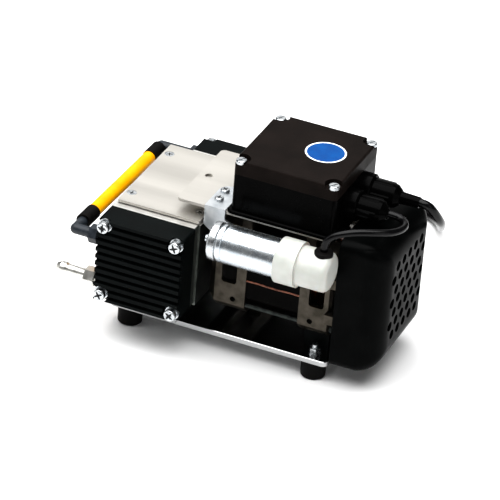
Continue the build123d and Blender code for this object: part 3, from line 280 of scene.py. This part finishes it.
# The tie bolts are oiled dark steel, as they come.
dark_steel = finish("oiled_dark_steel", ("2c2f2e", "474b49"), (0.36, 0.5), 5.0, 0.5, 0.006, 1.0)
frame["nodes"]["tie_bolts"].data.materials[0] = dark_steel

# Ground steel of the shaft and bearings, with fine turning marks around the shaft.
ground_steel = finish(
    "ground_steel", ("8e9194", "b4b7b9"), (0.16, 0.26), 5.0, 0.3, 0.004, 1.0, (1, 0.05, 0.05))
dress(ground_steel, "shaft_steel", "bearing_steel")

# Nickel-plated brass of the hose nozzle: pale neutral silver with a soft shine.
nickel = finish("nickel_plate", ("c2c1bb", "dcdbd6"), (0.26, 0.36), 6.0, 0.4, 0.004, 1.0)
dress(nickel, "nickel_brass")

# ---- motor: laminations and windings ---------------------------------------------------
# The stack is varnished black; its sheets show as fine lines across the shaft.
lamination = finish(
    "varnished_laminations", ("040303", "080706"), (0.34, 0.45), 12.0, 0.6, 0.01, mirror=0.03)
sheet_pitch = 1.0 * MM
sheet_lines = add(lamination, "ShaderNodeTexWave", {
    "Vector": add(lamination, "ShaderNodeTexCoord").outputs["Object"], "Scale": 0.314 / sheet_pitch},
    bands_direction="X")
stack_normal = lamination.node_tree.nodes["Principled BSDF"].inputs["Normal"]
line_bump = add(lamination, "ShaderNodeBump", {
    "Height": sheet_lines.outputs["Fac"], "Distance": 0.1 * MM,
    "Normal": stack_normal.links[0].from_socket})
lamination.node_tree.links.new(line_bump.outputs[0], stack_normal)
dress(lamination, "lamination")

# Enamelled copper wire, wound round the bore and varnished.
copper = finish("enamelled_copper", ("6b2f14", "a4552a"), (0.25, 0.4), 3.0, 0.7, 0.15, 0.6, (1, 0.2, 0.2))
dress(copper, "copper_winding")

# ---- rubber pieces ---------------------------------------------------------------------
# Feet, gasket, diaphragms, valves, sleeves and grommet: matt black with a greyish bloom.
rubber = finish("black_rubber", ("080707", "100e0d"), (0.5, 0.68), 6.0, 0.7, 0.03, mirror=0.1)
dress(rubber, "foot_rubber", "gasket_rubber", "diaphragm_rubber", "valve_rubber", "sleeve_rubber",
      "grommet_rubber")

# ---- moulded plastics ------------------------------------------------------------------
# Fan cover and fan: satin black with a fine spark-eroded texture that dulls the highlights.
cover_plastic = finish("fan_cover_plastic", ("030404", "070808"), (0.3, 0.4), 16.0, 0.55, 0.02, mirror=0.03)
dress(cover_plastic, "cover_plastic", "fan_plastic")

# Terminal box and glands: glossy black.
box_plastic = finish("box_plastic", ("020202", "050505"), (0.18, 0.26), 18.0, 0.8, 0.006, mirror=0.03)
dress(box_plastic, "box_plastic", "gland_plastic")

# Its lid is satin, a shade browner than the sides.
lid_plastic = finish("lid_plastic", ("15110f", "1d1816"), (0.38, 0.48), 20.0, 0.5, 0.02, mirror=0.03)
frame["nodes"]["box_lid"].data.materials[0] = lid_plastic

# Elbows: glass-filled nylon in a dark blue-grey.
elbow_plastic = finish("elbow_nylon", ("1d2126", "2b3036"), (0.34, 0.45), 4.0, 0.5, 0.02, mirror=0.3)
dress(elbow_plastic, "elbow_plastic")

# Boot: off-white PVC, softly glossy and faintly stained, letting a little light in.
boot_plastic = finish("ivory_boot", ("b2b2ac", "c2c1bc"), (0.3, 0.4), 15.0, 1.2, 0.012)
boot_plastic.node_tree.nodes["Principled BSDF"].inputs["Subsurface Weight"].default_value = 0.08
dress(boot_plastic, "boot_plastic")

# Hose: saturated yellow polyurethane, with a soft skin gloss.
hose_skin = finish("yellow_hose", ("f0a400", "f6b408"), (0.32, 0.42), 14.0, 1.5, 0.01, mirror=0.15)
dress(hose_skin, "hose_yellow")

# ---- capacitor can ---------------------------------------------------------------------
# Drawn aluminium: glossy cool silver, with only a faint change of tone from patch to patch.
can_metal = finish("drawn_can", ("bdc5cc", "d2d7da"), (0.25, 0.29), 5.0, 0.5, 0.0006, 1.0)
dress(can_metal, "can_aluminium")


# ---- cross recesses --------------------------------------------------------------------
# Painted shade in the cross slots of the head, lid and strap screws: thin flat dark stars laid over the
# recesses stand for the shade inside them.
def cross_recess(name, centre, out, reach, arm, turn):
    """Four-armed star facing out at a centre in metres; reach and arm are in millimetres."""
    mesh = bmesh.new()
    corners = []
    for quarter in range(4):
        for along, across in ((arm, -arm), (reach, -arm * 0.6), (reach, arm * 0.6)):
            angle = turn + quarter * math.pi / 2
            corners.append(mesh.verts.new((
                (along * math.cos(angle) - across * math.sin(angle)) * MM,
                (along * math.sin(angle) + across * math.cos(angle)) * MM, 0.0)))
    face = mesh.faces.new(corners)
    inset = bmesh.ops.extrude_face_region(mesh, geom=[face])["geom"]
    raised = [part for part in inset if isinstance(part, bmesh.types.BMVert)]
    bmesh.ops.translate(mesh, verts=raised, vec=(0, 0, 0.03 * MM))
    bmesh.ops.recalc_face_normals(mesh, faces=mesh.faces)
    data = bpy.data.meshes.new(name)
    mesh.to_mesh(data)
    mesh.free()
    star = bpy.data.objects.new(name, data)
    star.matrix_world = Matrix.Translation(centre) @ out.to_track_quat("Z", "Y").to_matrix().to_4x4()
    return star


# Near-black finish of the stars: painted shade for the inside of the screw recesses.
recess_shade_finish = finish("painted_recess_shade", ("0a0c0d", "16191a"), (0.4, 0.6), 1.0, 0.3, 0.01, 0.6)
screw_edge = 5.5 * MM
screw_low, screw_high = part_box("head_screws")
for head, side, face_y in (("front", -1, screw_low[1]), ("rear", 1, screw_high[1])):
    cover_low, cover_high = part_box(f"{head}_head_cover")
    corners = [(x, z) for x in (cover_low[0] + screw_edge, cover_high[0] - screw_edge)
               for z in (cover_low[2] + screw_edge, cover_high[2] - screw_edge)]
    for count, (x, z) in enumerate(corners):
        put(cross_recess(f"{head}_recess_{count}", Vector((x, face_y, z)), Vector((0, side, 0)),
                         3.5, 0.9, 0.5 + count), recess_shade_finish)

# The box round a group of screws gives their centres, one head radius in from its corners.
upward = Vector((0, 0, 1))
flush_low, flush_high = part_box("case_lid_screws")
flush_radius = 3.9 * MM
corners = [(x, y) for x in (flush_low[0] + flush_radius, flush_high[0] - flush_radius)
           for y in (flush_low[1] + flush_radius, flush_high[1] - flush_radius)]
for count, (x, y) in enumerate(corners):
    put(cross_recess(f"flush_recess_{count}", Vector((x, y, flush_high[2])), upward,
                     2.4, 0.5, 0.4 * count), recess_shade_finish)
strap_low, strap_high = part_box("strap_screws")
strap_radius = 3.6 * MM
corners = ((strap_high[0] - strap_radius, strap_low[1] + strap_radius),
           (strap_low[0] + strap_radius, strap_high[1] - strap_radius))
for count, (x, y) in enumerate(corners):
    put(cross_recess(f"strap_recess_{count}", Vector((x, y, strap_high[2])), upward,
                     2.4, 0.6, 0.9 * count), recess_shade_finish)

# ---- seam along the stack --------------------------------------------------------------
# A brown bead of varnished insulation runs along the front of the laminations.
stack_low, stack_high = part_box("stator_stack")
seam_data = bpy.data.curves.new("stack_seam", "CURVE")
seam_data.dimensions = "3D"
seam_data.bevel_depth = 0.7 * MM
seam_line = seam_data.splines.new("POLY")
seam_steps = 5
seam_height = 67.5 * MM
seam_line.points.add(seam_steps)
for count, control in enumerate(seam_line.points):
    share = count / seam_steps
    control.co = (stack_low[0] + share * (stack_high[0] - stack_low[0]), stack_low[1],
                  seam_height + 0.3 * MM * math.sin(9 * share), 1.0)
seam_varnish = finish("brown_varnish_bead", ("6b4030", "a5684f"), (0.3, 0.5), 4.0, 0.6, 0.05)
put(bpy.data.objects.new("stack_seam", seam_data), seam_varnish)


# ---- round label on the lid ------------------------------------------------------------
# A blank blue disc with a white rim: a thin printed film, lying flat on the lid, a little off
# its middle towards the fan.
def flat_ring(name, centre, z, inner, outer, thick, segments=96):
    """Flat ring, or disc where inner is 0, lying level; sizes in millimetres."""
    mesh = bmesh.new()
    rings = []
    for radius, height in ((inner, z), (outer - 0.05, z), (outer, z - thick), (inner, z - thick)):
        rings.append([mesh.verts.new((
            (centre[0] + radius * math.cos(2 * math.pi * count / segments)) * MM,
            (centre[1] + radius * math.sin(2 * math.pi * count / segments)) * MM,
            height * MM)) for count in range(segments)])
    for lower, upper in zip(rings, rings[1:] + rings[:1]):
        for count in range(segments):
            after = (count + 1) % segments
            mesh.faces.new((lower[count], lower[after], upper[after], upper[count]))
    bmesh.ops.remove_doubles(mesh, verts=mesh.verts, dist=1e-6)
    bmesh.ops.recalc_face_normals(mesh, faces=mesh.faces)
    data = bpy.data.meshes.new(name)
    mesh.to_mesh(data)
    mesh.free()
    return bpy.data.objects.new(name, data)


lid_low, lid_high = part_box("box_lid")
label_shift = 14.0
label_centre = ((lid_low[0] + lid_high[0]) / 2 / MM + label_shift, 3.0)
label_top = lid_high[2] / MM + 0.1
disc_radius, rim_radius, film = 14.6, 16.0, 0.12
blue_print = finish("blue_label_print", ("004280", "024c8c"), (0.3, 0.36), 8.0, 0.4, 0.002, mirror=0.08)
white_print = finish("white_label_print", ("e8eef0", "f7f9fa"), (0.3, 0.36), 8.0, 0.4, 0.002, mirror=0.3)
put(flat_ring("label_disc", label_centre, label_top, 0.0, disc_radius, film), blue_print)
put(flat_ring("label_rim", label_centre, label_top, disc_radius, rim_radius, film), white_print)

# ---- floor and light -------------------------------------------------------------------
# A plain white floor under one large overhead soft box, with two weak ones at the sides and a
# low one behind, which gives level faces a sheen, so dark pieces keep dark sides.
floor_mesh = bpy.data.meshes.new("floor")
floor_mesh.from_pydata([(-4, -4, 0), (4, -4, 0), (4, 4, 0), (-4, 4, 0)], [], [(0, 1, 2, 3)])
floor = bpy.data.objects.new("floor", floor_mesh)
bpy.context.scene.collection.objects.link(floor)
floor_paper = finish("white_sweep", ("f4f4f4", "ffffff"), (0.8, 0.9), 400.0, 2.0, 0.01)
floor_mesh.materials.append(floor_paper)


def soft_box(name, place, size, power):
    """Area light that faces the pump."""
    data = bpy.data.lights.new(name, "AREA")
    data.shape = "RECTANGLE"
    data.size, data.size_y = size
    data.energy = power
    light = bpy.data.objects.new(name, data)
    light.location = place
    light.rotation_euler = (Vector((0, 0, 0.08)) - Vector(place)).to_track_quat("-Z", "Y").to_euler()
    bpy.context.scene.collection.objects.link(light)


soft_box("top_box", (-0.1, -0.2, 1.7), (2.2, 2.2), 70.0)
soft_box("left_box", (-1.5, -0.9, 0.9), (0.9, 1.2), 6.0)
soft_box("right_box", (1.4, -0.5, 0.6), (0.6, 1.0), 2.0)
soft_box("back_box", (-0.6, 1.45, 0.95), (1.8, 0.7), 4.0)
world = bpy.data.worlds.new("studio")
world.use_nodes = True
world.node_tree.nodes["Background"].inputs["Color"].default_value = (1, 1, 1, 1)
world.node_tree.nodes["Background"].inputs["Strength"].default_value = 0.14
bpy.context.scene.world = world

# A plain display with a little more contrast, so the floor stays white, the blacks deep and
# the hose yellow.
bpy.context.scene.view_settings.view_transform = "Standard"
bpy.context.scene.view_settings.look = "Medium High Contrast"
